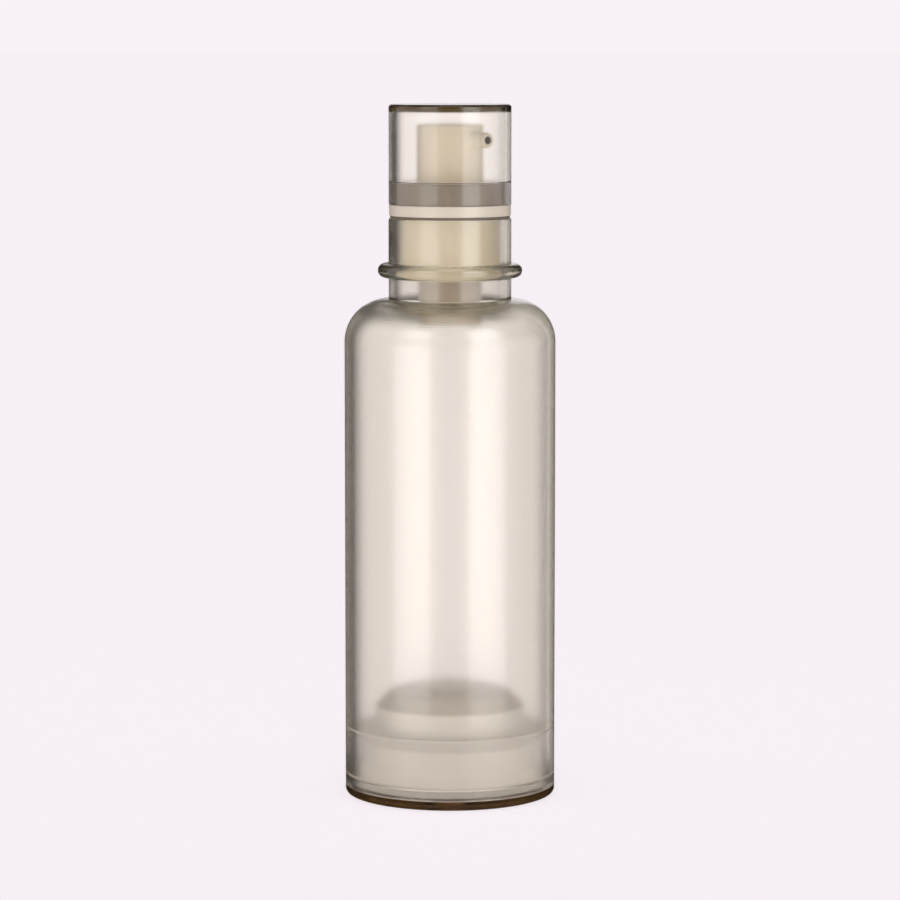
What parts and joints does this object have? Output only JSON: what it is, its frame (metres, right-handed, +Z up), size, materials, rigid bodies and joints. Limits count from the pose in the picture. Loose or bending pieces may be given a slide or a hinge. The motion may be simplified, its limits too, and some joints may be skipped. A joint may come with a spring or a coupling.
{
  "type": "airless pump bottle",
  "caption": "Straight round airless bottle in smoke-tinted clear plastic with a follower piston, snap-in pump, side nozzle and clear over-cap.",
  "frame": {"origin": "centre of the foot, on the surface that the bottle stands on", "axes": "+Z up along the bottle's axis, -Y the way the nozzle points, +X to the right seen from the nozzle's side"},
  "size_m": [0.042, 0.042, 0.138],
  "materials": {
    "smoke_clear": "satin clear plastic with a warm smoke tint",
    "cream_pp": "satin opaque moulding",
    "grip_taupe": "soft matt elastomer",
    "natural_pe": "waxy, slightly translucent",
    "natural_pp": "satin, slightly translucent",
    "seal": "matt foam sheet",
    "spring_steel": "drawn stainless wire",
    "ball_steel": "polished stainless"
  },
  "bodies": {
    "container": {"bottle": "smoke_clear", "base_plug": "smoke_clear", "neck_gasket": "seal", "closure": "cream_pp", "cap_grip_ring": "grip_taupe", "pump_chamber": "natural_pp", "stem_guide": "natural_pp", "return_spring": "spring_steel"},
    "cap": {"cap": "smoke_clear"},
    "follower": {"follower_piston": "natural_pe"},
    "plunger": {"pump_piston": "natural_pe", "stem_foot": "natural_pp", "stem": "natural_pp"},
    "head": {"actuator": "cream_pp"},
    "inlet_valve": {"inlet_ball": "ball_steel"},
    "outlet_valve": {"outlet_ball": "ball_steel"}
  },
  "joints": [
    {"name": "cap_lift", "type": "slide", "parent": "container", "child": "cap", "axis": [0, 0, 1], "range_m": [0, 0.025]},
    {"name": "pump_press", "type": "slide", "parent": "container", "child": "plunger", "axis": [0, 0, -1], "range_m": [0, 0.0045], "stiffness_N_per_m": 2500, "deforming": ["return_spring"]},
    {"name": "head_turn", "type": "hinge", "parent": "plunger", "child": "head", "pos_m": [0, 0, 0.129], "axis": [0, 0, 1], "continuous": true},
    {"name": "follower_rise", "type": "slide", "parent": "container", "child": "follower", "axis": [0, 0, 1], "range_m": [0, 0.075]},
    {"name": "inlet_valve_lift", "type": "slide", "parent": "container", "child": "inlet_valve", "axis": [0, 0, 1], "range_m": [0, 0.0008]},
    {"name": "outlet_valve_lift", "type": "slide", "parent": "plunger", "child": "outlet_valve", "axis": [0, 0, 1], "range_m": [0, 0.0005]}
  ]
}
